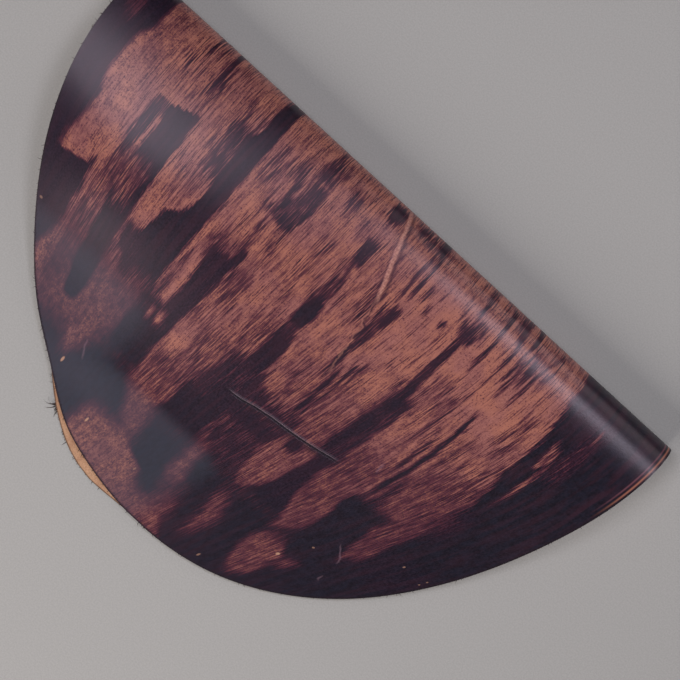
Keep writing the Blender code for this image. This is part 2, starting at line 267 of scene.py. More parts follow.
# Each stroke: how much it covers, 0 for wiped back to copper, how blue it is, how soft its sides and
# ends are in mm, and its outline as (out, left lane, right lane) down from the fold
Stroke = namedtuple("Stroke", "cover blue side end outline")
STROKES = (
    # thin washes over the copper, under all the rest
    Stroke(0.4, 0.2, 5.0, 9, ((128, 112, 160), (172, 112, 158))),
    Stroke(0.32, 0.15, 8.0, 12, ((92, 200, 262), (172, 200, 262))),
    Stroke(0.45, 0.15, 5.0, 9, ((160, 50, 80), (205, 50, 78))),
    Stroke(0.14, 0.1, 9.0, 12, ((34, 130, 262), (96, 132, 264))),
    Stroke(0.66, 0.15, 6.0, 10, ((150, -92, -38), (228, -92, -34))),
    Stroke(0.66, 0.15, 6.0, 10, ((158, -34, 4), (214, -30, 3))),
    Stroke(0.52, 0.1, 6.0, 10, ((156, 4, 50), (206, 4, 50))),
    Stroke(0.48, 0.2, 6.0, 10, ((186, -70, -2), (232, -80, -6))),
    Stroke(0.5, 0.2, 3.0, 8, ((126, 68, 88), (154, 68, 88))),
    Stroke(0.44, 0.05, 6.0, 10, ((138, 152, 188), (218, 150, 190))),
    Stroke(0.5, 0.0, 5.0, 10, ((124, 242, 270), (198, 238, 272))),
    Stroke(0.36, 0.1, 3.0, 8, ((76, 186, 212), (112, 190, 214))),
    Stroke(0.4, 0.1, 3.0, 8, ((54, 247, 258), (98, 252, 268))),
    Stroke(0.53, 0.0, 5.0, 10, ((100, 266, 292), (140, 265, 294), (196, 270, 296))),
    # left dark zone and the block below it
    Stroke(0.97, 0.35, 3.5, 6, ((-40, -400, -118), (12, -400, -119.5), (34, -400, -119),
           (40, -400, -122),
           (48, -400, -126), (75, -400, -127), (84, -400, -125), (92, -400, -121), (108, -400, -121.5),
           (118, -400, -123), (126, -400, -126), (150, -400, -125), (330, -400, -125))),
    Stroke(0.66, 0.0, 3.0, 9, ((22, -146, -134), (44, -144, -134))),
    Stroke(0.97, 0.3, 2.5, 3, ((126, -98, -96), (134, -99, -94.5), (139, -126, -95.5),
           (150, -130, -93.5),
           (160, -140, -96), (170, -150, -95), (180, -150, -96), (190, -150, -99), (200, -150, -103),
           (208, -150, -107), (214, -150, -110))),
    # mottled plum on the copper beside it
    Stroke(0.36, 0.1, 6.0, 10, ((8, -118, -102), (60, -117, -98))),
    Stroke(0.38, 0.3, 2.0, 8, ((10, -88, -82), (40, -86, -79))),
    # dry brush marks and the darker patch in them
    Stroke(0.3, 0.2, 4.0, 8, ((4, -88, -54), (30, -86, -53), (64, -84, -54))),
    Stroke(0.56, 0.35, 2.5, 7, ((26, -66, -54), (46, -66, -55))),
    Stroke(0.9, 0.45, 1.0, 5, ((-2, -65, -61.5), (36, -64, -61.5))),
    Stroke(0.85, 0.3, 1.2, 6, ((-2, -82, -79.5), (24, -81, -78.5))),
    # band with the sharp wavy top
    Stroke(0.8, 0.6, 1.5, 1.5, ((66, -87, -72), (72, -88, -70), (90, -88, -78), (116, -87, -80))),
    Stroke(0.99, 0.5, 1.0, 1.2, ((60, -58, -55), (62, -64, -54.5), (66, -76, -54.5), (75, -76, -54.2),
           (90, -75, -54), (100, -76, -52.8), (112, -77, -52.4), (130, -75, -52.4), (150, -72, -52.3),
           (170, -70.5, -51.5), (180, -70, -50.5), (190, -69, -49), (200, -65, -47.8), (208, -63, -48.5),
           (214, -61, -50))),
    Stroke(0.1, 0.3, 1.4, 6, ((77, -78.5, -74.5), (106, -78, -75.5))),
    # This thinner patch of dye in the dark band is a painted sheen
    Stroke(0.56, 0.2, 3.0, 9, ((106, -78, -57), (142, -76, -57))),
    Stroke(0.5, 0.4, 3.0, 9, ((112, -88, -76), (150, -90, -73))),
    Stroke(0.6, 0.3, 2.0, 8, ((160, -79, -71), (206, -77, -68))),
    # band up to the sharp right edge near the middle of the left half
    Stroke(0.44, 0.15, 4.0, 10, ((22, -40, -18), (40, -39, -20), (66, -38, -21))),
    Stroke(0.78, 0.12, 3.0, 8, ((40, -37, -19), (64, -34, -20))),
    Stroke(0.8, 0.6, 4.0, 5, ((68, -33, -18), (86, -34, -20))),
    Stroke(0.32, 0.2, 4.0, 10, ((86, -42, -24), (118, -44, -26))),
    Stroke(0.98, 0.5, 1.2, 7, ((2, -17, -6.5), (20, -18, -6), (36, -17.5, -5.8), (44, -20, -5.2),
           (62, -21, -5), (76, -20, -4.6), (100, -18, -4.4), (114, -22, -4.2), (122, -33, -4.2),
           (140, -36, -4.2), (150, -40, -4.2), (170, -36, -4.6), (174, -34, -5))),
    Stroke(0.93, 0.05, 2.5, 4, ((146, -50, -30), (158, -48, -28), (168, -34, -26))),
    Stroke(0.55, 0.1, 4.0, 8, ((168, -30, -4), (186, -30, -4))),
    # patches in the copper right of it
    Stroke(0.34, 0.2, 4.0, 8, ((14, 0, 8), (30, 0, 6))),
    Stroke(0.66, 0.3, 3.0, 6, ((6, 33, 42), (22, 30, 45), (34, 30, 44))),
    Stroke(0.55, 0.2, 3.0, 6, ((34, 12, 30), (46, 14, 30))),
    Stroke(0.5, 0.0, 4.0, 8, ((40, -2, 14), (64, -2, 12))),
    Stroke(0.85, 0.15, 2.5, 4, ((40, 33, 45), (60, 32, 46))),
    Stroke(0.84, 0.5, 2.5, 4, ((58, 25, 46), (66, 23, 46.5), (74, 22, 45), (78, 33, 43))),
    Stroke(0.66, 0.4, 2.0, 6, ((44, 23, 28), (74, 23, 28), (112, 24, 28))),
    Stroke(0.58, 0.4, 2.5, 3.5, ((69, 15, 30), (77, 16, 30))),
    Stroke(0.4, 0.15, 3.0, 7, ((82, 36, 47), (106, 37, 48))),
    Stroke(0.93, 0.4, 1.5, 3, ((106, 28, 33), (120, 25, 33))),
    Stroke(0.45, 0.2, 3.0, 8, ((104, 4, 24), (124, 2, 20))),
    Stroke(0.93, 0.2, 1.8, 4, ((117, 9, 33), (132, 11, 32), (146, 14, 32), (200, 15, 31))),
    Stroke(0.15, 0.1, 1.2, 6, ((134, 7, 13), (172, 6, 12))),
    Stroke(0.6, 0.3, 1.2, 6, ((130, 1, 3.5), (172, 0, 3.5))),
    Stroke(0.55, 0.15, 3.0, 5, ((118, 33, 49), (142, 34, 49))),
    Stroke(0.95, 0.35, 2.0, 2.5, ((172.5, -5, 16), (181, -5, 16))),
    Stroke(0.85, 0.3, 2.0, 3, ((178, -4, 30), (200, -4, 31))),
    Stroke(0.15, 0.1, 1.2, 3, ((179, 6.5, 10), (190, 7, 10.5))),
    Stroke(0.12, 0.1, 1.5, 3, ((177, 14.5, 20), (189, 15.5, 20.5))),
    # small marks in the wide copper
    Stroke(0.85, 0.35, 1.2, 5, ((21, 58, 61), (42, 58.5, 61.5))),
    Stroke(0.75, 0.3, 1.2, 5, ((18, 62.5, 65.5), (34, 63, 65.5))),
    Stroke(0.44, 0.2, 3.0, 6, ((60, 63, 71), (78, 63, 71))),
    Stroke(0.36, 0.2, 3.0, 9, ((84, 64, 74), (112, 65, 76))),
    # broken band above the pressed crease
    Stroke(0.9, 0.4, 2.0, 3, ((8, 83, 94), (18, 84, 94), (24, 84, 92))),
    Stroke(0.9, 0.4, 1.8, 4, ((42, 84.5, 94), (56, 86, 95), (62, 86, 96))),
    Stroke(0.7, 0.4, 1.5, 4, ((60, 86, 91), (70, 87, 91))),
    Stroke(0.7, 0.5, 2.0, 6, ((73, 86, 95), (96, 87, 97))),
    Stroke(0.96, 0.5, 1.8, 4, ((95, 86, 98), (110, 86, 99), (122, 87, 98))),
    Stroke(0.8, 0.35, 1.8, 4, ((122, 88, 98), (132, 88, 100))),
    Stroke(0.98, 0.4, 1.6, 6, ((129, 88, 101), (142, 88, 105), (158, 90, 105), (172, 90, 106))),
    Stroke(0.85, 0.3, 3.0, 6, ((160, 78, 112), (172, 77, 114), (202, 76, 114))),
    # dark brush lines round the scar
    Stroke(0.72, 0.1, 2.5, 4, ((6, 104, 122), (18, 108, 122))),
    Stroke(0.92, 0.2, 1.5, 4, ((-6, 124, 132), (18, 124, 131.5))),
    Stroke(0.8, 0.25, 1.0, 6, ((16, 130.5, 133.5), (54, 132, 135))),
    Stroke(0.6, 0.2, 1.2, 8, ((18, 124, 127), (32, 125, 128), (62, 127, 130))),
    Stroke(0.7, 0.4, 1.2, 6, ((58, 111, 114), (86, 113, 116))),
    Stroke(0.8, 0.4, 1.2, 6, ((66, 117, 120), (90, 118, 121))),
    Stroke(0.65, 0.35, 1.2, 6, ((66, 125, 129), (100, 128, 131))),
    Stroke(0.88, 0.35, 1.8, 5, ((64, 131, 138), (84, 130.5, 138))),
    Stroke(0.85, 0.45, 1.5, 5, ((86, 131, 136), (108, 131, 136))),
    Stroke(0.88, 0.35, 1.5, 5, ((106, 129, 133), (118, 131, 136), (130, 132, 137))),
    Stroke(0.85, 0.45, 1.0, 4, ((112, 145, 148.5), (128, 145, 148))),
    Stroke(0.65, 0.3, 1.0, 6, ((108, 149, 151), (132, 151, 153))),
    Stroke(0.86, 0.3, 1.3, 7, ((122, 138.5, 142), (140, 141, 145.5), (172, 144, 147.5))),
    Stroke(0.7, 0.25, 1.0, 7, ((128, 147, 149.5), (172, 150, 152.5))),
    Stroke(0.6, 0.3, 2.0, 3, ((38, 139, 143), (50, 140, 143))),
    Stroke(0.6, 0.3, 2.0, 3, ((48, 146, 150), (56, 146, 150))),
    Stroke(0.6, 0.2, 2.0, 3, ((49, 160, 165), (55, 160, 166))),
    # long band of the right half
    Stroke(0.7, 0.3, 1.5, 8, ((6, 173, 176), (34, 175, 178.5))),
    Stroke(0.84, 0.2, 3.0, 4, ((38, 170, 187), (44, 172, 187), (52, 176, 184))),
    Stroke(0.7, 0.7, 2.0, 2.5, ((32, 181, 186), (41, 181, 187))),
    Stroke(0.9, 0.35, 1.6, 6, ((48, 176.5, 181), (75, 177, 183.5), (90, 178.5, 185), (102, 180, 187),
           (118, 179, 190), (136, 178.5, 192.5), (150, 180, 191), (176, 181, 191))),
    Stroke(0.86, 0.25, 2.0, 6, ((106, 189, 195), (140, 191, 197), (176, 192, 201))),
    Stroke(0.55, 0.3, 1.3, 7, ((96, 174, 177), (152, 175, 178))),
    Stroke(0.55, 0.2, 1.0, 8, ((52, 167, 169), (96, 168.5, 170.5))),
    # brush lines right of it
    Stroke(0.85, 0.2, 2.0, 4, ((8, 192, 196.5), (21, 193, 196.5))),
    Stroke(0.85, 0.4, 1.0, 5, ((18, 193.5, 195.5), (36, 195, 197.5), (48, 195.5, 198.5),
           (62, 197.5, 199))),
    Stroke(0.6, 0.2, 3.0, 6, ((-2, 200, 208), (22, 202, 210))),
    Stroke(0.65, 0.15, 1.0, 8, ((18, 207.5, 209.5), (48, 210.5, 213), (92, 212.5, 214.5),
           (128, 214.5, 216.5))),
    Stroke(0.9, 0.45, 1.2, 4, ((-8, 214.5, 218.5), (22, 217, 220.5))),
    Stroke(0.7, 0.4, 1.0, 6, ((32, 215.5, 218), (56, 218, 220.5))),
    Stroke(0.75, 0.35, 1.2, 6, ((28, 220, 223), (66, 223, 225.5))),
    Stroke(0.8, 0.7, 1.5, 6, ((25, 225, 229), (48, 226, 230))),
    Stroke(0.75, 0.3, 1.2, 7, ((14, 231.5, 234), (62, 233, 235.5))),
    Stroke(0.6, 0.2, 1.2, 7, ((8, 237, 240), (36, 238, 241))),
    Stroke(0.98, 0.7, 0.9, 6, ((82, 225.5, 227.5), (98, 227.5, 230.5), (112, 230.5, 233.5),
           (130, 232, 235), (150, 233.5, 237.5), (172, 235, 239.5))),
    Stroke(0.92, 0.5, 0.9, 6, ((118, 224.5, 226.5), (138, 226, 228.5), (152, 228, 230))),
    Stroke(0.6, 0.2, 0.9, 7, ((88, 239.5, 241), (128, 241.5, 243.5))),
    Stroke(0.8, 0.35, 1.5, 6, ((148, 240, 244), (172, 243, 249), (188, 246, 252))),
    # right dark zone, from the copper to the edge
    Stroke(0.97, 0.8, 3.2, 6, ((-40, 259.5, 460), (24, 261, 460), (34, 263, 460), (46, 265, 460),
           (56, 266.5, 460), (64, 268.5, 460), (80, 270.5, 460), (90, 272.5, 460), (96, 270.5, 460),
           (102, 273.5, 460), (112, 277.5, 460), (122, 280.5, 460), (132, 283.5, 460), (146, 285, 460),
           (190, 289, 460), (210, 293, 460), (222, 284, 460), (320, 280, 460))),
    Stroke(0.45, 0.0, 2.5, 7, ((60, 276, 283), (80, 280, 286))),
    Stroke(0.3, 0.0, 1.2, 8, ((74, 284.5, 287.5), (96, 287, 289.5), (118, 289, 291))),
    Stroke(0.78, 0.0, 4.0, 9, ((138, 285, 297), (168, 288, 300))),
    Stroke(0.8, 0.0, 5.0, 12, ((30, 286, 296), (80, 290, 300))),
    # the lower part, dark again between the copper tongues
    Stroke(0.93, 0.3, 3.0, 4, ((184, 92, 158), (198, 94, 158), (202, 94, 157))),
    Stroke(0.84, 0.25, 3.0, 5, ((170, 112, 156), (184, 100, 158))),
    Stroke(0.84, 0.25, 5.0, 8, ((198, 112, 160), (228, 114, 166))),
    Stroke(0.97, 0.5, 2.0, 5, ((198, 72, 113), (212, 71, 114), (222, 74, 118), (232, 67, 122))),
    Stroke(0.9, 0.75, 6.0, 8, ((228, 70, 124), (250, 76, 126), (280, 86, 150), (320, 90, 160))),
    Stroke(0.94, 0.35, 2.0, 4, ((170, 188, 202), (186, 188, 202), (200, 186, 206), (212, 188, 212),
           (222, 186, 218), (232, 170, 224))),
    Stroke(0.93, 0.75, 5.0, 8, ((226, 130, 226), (240, 126, 230), (262, 128, 234), (300, 130, 260),
           (320, 130, 300))),
    Stroke(0.95, 0.75, 2.5, 4, ((178, 230, 270), (190, 231, 268), (200, 235, 274), (212, 239, 277),
           (224, 240, 284), (240, 226, 300), (262, 226, 330), (320, 220, 400))),
    Stroke(0.96, 0.55, 1.5, 5, ((188, 286.5, 340), (222, 284, 340))),
    Stroke(0.93, 0.5, 2.5, 3, ((186, 158, 166), (190, 158, 163))),
    # slate on the left of the lower part
    Stroke(0.95, 0.6, 2.5, 4, ((190, -4, 31), (204, -4, 31), (222, -3, 34))),
    Stroke(0.88, 0.85, 5.0, 7, ((218, -12, 36), (232, -16, 40), (250, -30, 64), (262, -60, 60),
           (290, -70, 20))),
    Stroke(0.85, 0.6, 4.0, 5, ((232, -90, -40), (262, -80, -20))),
    Stroke(0.85, 0.85, 4.0, 4, ((246, 30, 66), (262, 34, 66))),
    Stroke(0.36, 0.1, 4.0, 4, ((258, 24, 64), (270, 22, 110), (300, 20, 130))),
    # copper tongues and reddish patches wiped back out of the dark
    Stroke(0.2, 0.1, 1.5, 6, ((168, 31, 50), (200, 31, 50), (204, 31, 50))),
    Stroke(0.5, 0.1, 2.5, 5, ((198, 33, 72), (222, 36, 72), (232, 38, 66))),
    Stroke(0.48, 0.15, 3.0, 4, ((230, 40, 67), (240, 46, 70), (250, 52, 77), (258, 63, 73))),
    Stroke(0.42, 0.05, 2.0, 5, ((184, 157, 165), (187, 156.5, 186), (200, 157, 186.5), (212, 159.5, 187),
           (220, 163, 185), (228, 168, 181), (233, 173, 177))),
    Stroke(0.9, 0.4, 1.8, 2, ((180.5, 164, 177), (190, 166, 176))),
    Stroke(0.5, 0.0, 2.4, 6, ((150, 200, 231), (180, 201, 230), (190, 202, 230), (200, 205, 235),
           (210, 210, 238), (220, 217, 241), (228, 222, 242))),
    Stroke(0.58, 0.0, 2.4, 6, ((150, 274, 288), (180, 270, 288), (188, 268, 288), (196, 271, 290),
           (206, 276, 293), (214, 279, 292.5), (221, 284, 288))),
    Stroke(0.42, 0.0, 3.0, 6, ((224, 122, 130), (240, 123, 134), (256, 124, 146), (264, 128, 144))),
    Stroke(0.5, 0.1, 5.0, 8, ((262, 140, 160), (290, 140, 176))),
    Stroke(0.52, 0.1, 4.0, 7, ((240, 168, 186), (262, 180, 200), (282, 184, 200))),
    Stroke(0.46, 0.1, 2.5, 5, ((238, 229, 250), (250, 227, 264), (262, 231, 266), (272, 238, 266),
           (281, 248, 262))),
    Stroke(0.6, 0.0, 2.5, 4, ((244, 262, 278), (256, 262, 276))),
    Stroke(0.42, 0.05, 3.0, 4, ((281, 112, 160), (300, 112, 190))),
    Stroke(0.5, 0.05, 2.0, 6, ((210, 113, 117), (226, 114, 119))),
    # the side that lies underneath, brushed in the same way
    Stroke(0.96, 0.35, 2.0, 12, ((-330, -400, -122), (-60, -400, -116), (-22, -400, -119))),
    Stroke(0.9, 0.4, 1.5, 12, ((-260, -64, -40), (-70, -60, -44))),
    Stroke(0.6, 0.2, 4.0, 14, ((-240, 0, 40), (-90, 4, 30))),
    Stroke(0.94, 0.45, 1.5, 12, ((-300, 80, 112), (-60, 92, 104))),
    Stroke(0.7, 0.2, 3.0, 14, ((-220, 150, 190), (-60, 160, 184))),
    Stroke(0.96, 0.7, 1.5, 12, ((-330, 240, 460), (-60, 257, 460), (-22, 260.5, 460))),
)

THIN_COVER = 0.26
THIN_BLUE = 0.2
cover = np.full(lane.shape, THIN_COVER)
blue = np.full(lane.shape, THIN_BLUE)

# Far from the fold at the left the dye was rubbed in with a cloth, so it is cloudy there, not streaked.
# Where it is strongest, the same share also lays a painted grey sheen over the dye
rubbed_and_sheen = eased((every_out - 130.0) / 70.0) * eased((90.0 - lane) / 110.0)
rubbed_and_sheen = np.maximum(rubbed_and_sheen, 0.68 * eased((-92.0 - lane) / 12.0))
rubbed_and_sheen = np.maximum(rubbed_and_sheen, 0.97 * eased((every_out - 200.0) / 40.0) * eased((240.0 - lane) / 120.0))
rubbed_and_sheen = np.maximum(rubbed_and_sheen, 0.62 * eased((every_out - 90.0) / 60.0) * eased((lane - 130.0) / 60.0))
rubbed_and_sheen = np.maximum(rubbed_and_sheen, 0.3 * eased((every_out - 70.0) / 60.0))
soften = 1.0 + 1.6 * rubbed_and_sheen * eased((every_out - 100.0) / 60.0)
for stroke in STROKES:
    outline = np.array(stroke.outline, float)
    inside_left = lane - np.interp(every_out, outline[:, 0], outline[:, 1])
    inside_right = np.interp(every_out, outline[:, 0], outline[:, 2]) - lane
    sides = eased(0.5 + np.minimum(inside_left, inside_right) / (2.0 * stroke.side * soften))
    inside_ends = np.minimum(every_out - outline[0, 0], outline[-1, 0] - every_out)
    ends = eased(0.5 + inside_ends / (2.0 * stroke.end * soften))
    cover = cover + (stroke.cover - cover) * sides * ends
    blue = blue + (stroke.blue - blue) * sides * ends

# How far each place is in from the cut edge: the gap to it on the line from the oval's middle, times
# the cosine of the edge's slant there
place_angle = np.arctan2(every_out, every_along - OVAL_CENTRE)
edge_radius = oval_radius(place_angle)
slant = (oval_radius(np.clip(place_angle + 0.01, -np.pi, np.pi)) - edge_radius) / 0.01 / edge_radius
from_edge = (edge_radius - np.hypot(every_out, every_along - OVAL_CENTRE)) / np.hypot(1.0, slant)


LINE_REACH = 19.0


def near_lines(lines):
    """Signed distance across the nearest of some lines of (lane, out) points, and its strength there.

    The distance is to the nearest straight piece, with the cross product's sign. The strength is 1 on
    a line, fades over the line's last fifth at each end, and is 0 out of its reach.
    """
    across = np.full(every_along.shape, LINE_REACH + 1.0)
    strength = np.zeros(every_along.shape)
    for line in lines:
        line = np.array(line, float)
        line[:, 0] = LANE_START + line[:, 0] * np.exp(-(((line[:, 1] - LANE_ROW) / LANE_SPREAD) ** 2))
        pieces = len(line) - 1
        for i in range(pieces):
            start, step = line[i], line[i + 1] - line[i]
            gap_along, gap_out = every_along - start[0], every_out - start[1]
            on_piece = np.clip((gap_along * step[0] + gap_out * step[1]) / (step @ step), 0.0, 1.0)
            far = np.hypot(gap_along - on_piece * step[0], gap_out - on_piece * step[1])
            share = (i + on_piece) / pieces
            side = np.where(step[1] * gap_along < step[0] * gap_out, -far, far)
            closer = far < np.abs(across)
            across = np.where(closer, side, across)
            strength = np.where(closer, eased(share * 5.0) * eased((1.0 - share) * 5.0), strength)
    return across, strength * (np.abs(across) < LINE_REACH)


# A healed scar stands up as a pale ridge and runs out in wrinkles, and a pressed crease runs with the
# fold. There are soft scratches in the glaze, and two short cracks in the dye
SCAR = (
    ((93, -2), (95, 8), (97, 13), (101, 25), (106, 38), (112, 52), (115, 58), (119, 68), (122, 76)),
)
WRINKLES = (((118, 68), (123, 82), (128, 98), (132, 115), (139, 138)),)
CREASE = (
    ((94, 187), (104, 186.5), (113, 185.5), (125, 182.8), (140, 180.6), (155, 179.4), (170, 177.6),
     (185, 175.2), (198, 172.6), (206, 172)),
)
SCRATCHES = (
    ((269, 212), (278, 218), (285, 222), (288, 226)), ((295, 238), (298, 243)),
    ((-17, 228), (-14, 234), (-8, 242)), ((221, 150), (224, 160)),
)
CRACKS = (((-89, 98), (-91, 106), (-94, 118), (-97, 130)), ((262, 166), (270, 170)))


def point_values(mesh, name, values):
    """Keeps one number for each point of a mesh, for its material to read."""
    mesh.attributes.new(name, "FLOAT", "POINT").data.foreach_set("value", values.astype(np.float32))


point_values(shell_mesh, "cover", cover)
point_values(shell_mesh, "blue", blue)
point_values(shell_mesh, "from_edge", from_edge)
point_values(shell_mesh, "rubbed_and_sheen", rubbed_and_sheen)
# The bent leather is paler: partly stretched, partly painted light on the slope of the bend. At the right
# end the edge of the fold is worn
point_values(shell_mesh, "stretched_and_painted_light", eased(1.0 - np.abs(every_out - 6.0) / 34.0))
worn = eased((every_out + 6.0) / 12.0) * eased((84.0 - every_out) / 40.0) * (lane > 250.0)
point_values(shell_mesh, "worn", worn)
for name, lines in (
    ("scar", SCAR), ("wrinkle", WRINKLES), ("crease", CREASE), ("scratch", SCRATCHES), ("crack", CRACKS),
):
    across, strength = near_lines(lines)
    point_values(shell_mesh, name + "_across", across)
    point_values(shell_mesh, name + "_strength", strength)
brush_place = np.stack([lane, every_out, np.zeros_like(lane)], axis=-1)
shell_mesh.attributes.new("brush", "FLOAT_VECTOR", "POINT").data.foreach_set(
    "vector", brush_place.astype(np.float32).ravel()
)


def linear(hex_code):
    """An sRGB hex colour as linear RGBA: the standard sRGB curve undone."""
    srgb = np.array([int(hex_code[i:i + 2], 16) for i in (1, 3, 5)]) / 255.0
    straight = np.where(srgb <= 0.04045, srgb / 12.92, ((srgb + 0.055) / 1.055) ** 2.4)
    return (*straight.tolist(), 1.0)


def add_node(material, kind, inputs=None, **settings):
    """Adds a node with its settings. An input is a value, or the socket that it is linked from."""
    tree = material.node_tree
    made = tree.nodes.new(kind)
    for name, value in settings.items():
        setattr(made, name, value)
    for name, value in (inputs or {}).items():
        if isinstance(value, bpy.types.NodeSocket):
            tree.links.new(value, made.inputs[name])
        else:
            made.inputs[name].default_value = value
    return made


# Shell cordovan: vegetable tanned, stuffed with oils and rolled to a close, glazed face. It has no
# pores, so what shows is the brushed dye, a soft broad gloss and a faint grain of about 0.5 mm.
grain = bpy.data.materials.new("glazed_horse_leather")
grain.use_nodes = True


def value_of(material, name):
    """A number kept on the mesh's points, read by its name."""
    return add_node(material, "ShaderNodeAttribute", attribute_name=name).outputs["Fac"]


def calculated(material, operation, first, second=0.0, third=0.0):
    """One step of arithmetic on up to three values."""
    inputs = {0: first, 1: second, 2: third}
    return add_node(material, "ShaderNodeMath", inputs, operation=operation).outputs[0]


def mixed(material, share, first, second):
    """This share of the second colour over the first."""
    inputs = {0: share, 6: first, 7: second}
    return add_node(material, "ShaderNodeMix", inputs, data_type="RGBA").outputs[2]


def ranged(material, value, low, high, to_low=0.0, to_high=1.0):
    """The value's share of the way from low to high, eased and kept inside, on the new range."""
    inputs = {0: value, 1: low, 2: high, 3: to_low, 4: to_high}
    return add_node(material, "ShaderNodeMapRange", inputs, interpolation_type="SMOOTHSTEP").outputs[0]


def noise(material, place, across_mm, out_mm, detail=2.0, shift=0.0):
    """Noise with spots of about these sizes on the brushed leather."""
    scaled = add_node(
        material, "ShaderNodeMapping",
        {"Vector": place, "Location": (shift, shift, shift), "Scale": (1.0 / across_mm, 1.0 / out_mm, 1.0)},
    ).outputs[0]
    settings = {"Vector": scaled, "Scale": 1.0, "Detail": detail, "Roughness": 0.55}
    return add_node(material, "ShaderNodeTexNoise", settings).outputs[0]


brush = add_node(grain, "ShaderNodeAttribute", attribute_name="brush").outputs["Vector"]
hair_streaks = noise(grain, brush, 0.85, 15.0, 2.0)
fine_streaks = noise(grain, brush, 1.8, 24.0, 2.0, 3.0)
wide_streaks = noise(grain, brush, 5.5, 52.0, 2.0, 7.0)
mottle = noise(grain, brush, 1.3, 1.7, 2.0, 13.0)
blots = noise(grain, brush, 4.5, 6.5, 2.0, 19.0)
clouds = noise(grain, brush, 20.0, 26.0, 2.0, 29.0)

# The streaks thin and thicken the dye most where it half covers the copper. Single hairs of the brush
# left thin dark lines in bunches. Where it was rubbed in, the leather's own unevenness shows instead
streaks = calculated(grain, "MULTIPLY", hair_streaks, 0.55)
streaks = calculated(grain, "MULTIPLY_ADD", fine_streaks, 0.30, streaks)
streaks = calculated(grain, "MULTIPLY_ADD", wide_streaks, 0.15, streaks)
streaks = add_node(grain, "ShaderNodeMapRange", {0: streaks, 1: 0.38, 2: 0.62, 3: -1.0, 4: 1.0}).outputs[0]
spots = calculated(grain, "MULTIPLY", mottle, 0.6)
spots = calculated(grain, "MULTIPLY_ADD", blots, 0.4, spots)
spots = add_node(grain, "ShaderNodeMapRange", {0: spots, 1: 0.36, 2: 0.64, 3: -1.0, 4: 1.0}).outputs[0]
covered = value_of(grain, "cover")
rubbed_and_sheen_share = value_of(grain, "rubbed_and_sheen")
bare = calculated(grain, "SUBTRACT", 1.0, covered)
swing = calculated(grain, "MULTIPLY", calculated(grain, "MULTIPLY", covered, covered), bare)
swing = calculated(grain, "MULTIPLY_ADD", swing, 3.2, 0.07)
swing = calculated(grain, "MULTIPLY", swing, calculated(grain, "MULTIPLY_ADD", rubbed_and_sheen_share, -0.92, 1.0))
spotting = calculated(grain, "MULTIPLY_ADD", rubbed_and_sheen_share, 0.2, 0.18)
amount = calculated(grain, "MULTIPLY_ADD", streaks, swing, covered)
amount = calculated(grain, "MULTIPLY_ADD", spots, calculated(grain, "MULTIPLY", bare, spotting), amount)
hair_lines = ranged(grain, noise(grain, brush, 0.75, 26.0, 1.0, 53.0), 0.55, 0.66)
bunches = ranged(grain, noise(grain, brush, 11.0, 48.0, 2.0, 61.0), 0.38, 0.62, 0.08, 0.5)
bunches = calculated(grain, "MULTIPLY", bunches, calculated(grain, "MULTIPLY_ADD", rubbed_and_sheen_share, -0.8, 1.0))
amount = calculated(grain, "MULTIPLY_ADD", hair_lines, bunches, amount)
specks = ranged(grain, noise(grain, brush, 1.0, 1.5, 2.0, 83.0), 0.54, 0.7, 0.0, 0.4)
amount = calculated(grain, "MULTIPLY_ADD", specks, bare, amount)

copper = mixed(grain, ranged(grain, mottle, 0.34, 0.66), linear("#8e5957"), linear("#b1736b"))
copper = mixed(grain, ranged(grain, clouds, 0.36, 0.62, 0.1, 0.75), copper, linear("#b97661"))
# Paler copper round the bend: partly the stretched leather, partly painted light on the slope
stretched_and_painted_light = calculated(grain, "MULTIPLY", value_of(grain, "stretched_and_painted_light"), 0.3)
copper = mixed(grain, stretched_and_painted_light, copper, linear("#cd8873"))
plum = mixed(grain, ranged(grain, mottle, 0.35, 0.65), linear("#4a212f"), linear("#64323e"))
inky_plum = mixed(grain, ranged(grain, mottle, 0.35, 0.65), linear("#190b19"), linear("#2b172a"))
blue_black = mixed(grain, ranged(grain, blots, 0.35, 0.65), linear("#0d1019"), linear("#171c29"))
dark = mixed(grain, value_of(grain, "blue"), inky_plum, blue_black)
plum_streaks = ranged(grain, wide_streaks, 0.42, 0.66, 0.0, 0.45)
plum_streaks = calculated(
    grain, "MULTIPLY", plum_streaks, calculated(grain, "MULTIPLY_ADD", rubbed_and_sheen_share, -0.8, 1.0)
)
dark = mixed(grain, plum_streaks, dark, linear("#43222f"))
dyed = mixed(grain, ranged(grain, amount, 0.06, 0.6), copper, plum)
dyed = mixed(grain, ranged(grain, amount, 0.46, 0.9), dyed, dark)
# A grey-blue film over the most rubbed places is a painted sheen on the dark dye
dyed = mixed(grain, ranged(grain, rubbed_and_sheen_share, 0.66, 1.0, 0.0, 0.2), dyed, linear("#66707e"))

wander = noise(grain, brush, 6.0, 8.0, 2.0, 71.0)


def line_of(name, half_width, soft, strength, wandering=0.0):
    """How strongly a line shows: full within half its width, gone a soft margin further out."""
    far = calculated(grain, "MULTIPLY_ADD", wander, wandering, value_of(grain, name + "_across"))
    far = calculated(grain, "ABSOLUTE", calculated(grain, "SUBTRACT", far, wandering / 2))
    shown = ranged(grain, far, half_width, half_width + soft, strength, 0.0)
    return calculated(grain, "MULTIPLY", shown, value_of(grain, name + "_strength"))


def beside(name, offset, half_width, strength, wandering=0.0):
    """A soft band beside a line, its middle this far across it."""
    far = calculated(grain, "MULTIPLY_ADD", wander, wandering, value_of(grain, name + "_across"))
    far = calculated(grain, "SUBTRACT", far, offset + wandering / 2)
    shown = ranged(grain, calculated(grain, "ABSOLUTE", far), 0.0, half_width, strength, 0.0)
    return calculated(grain, "MULTIPLY", shown, value_of(grain, name + "_strength"))
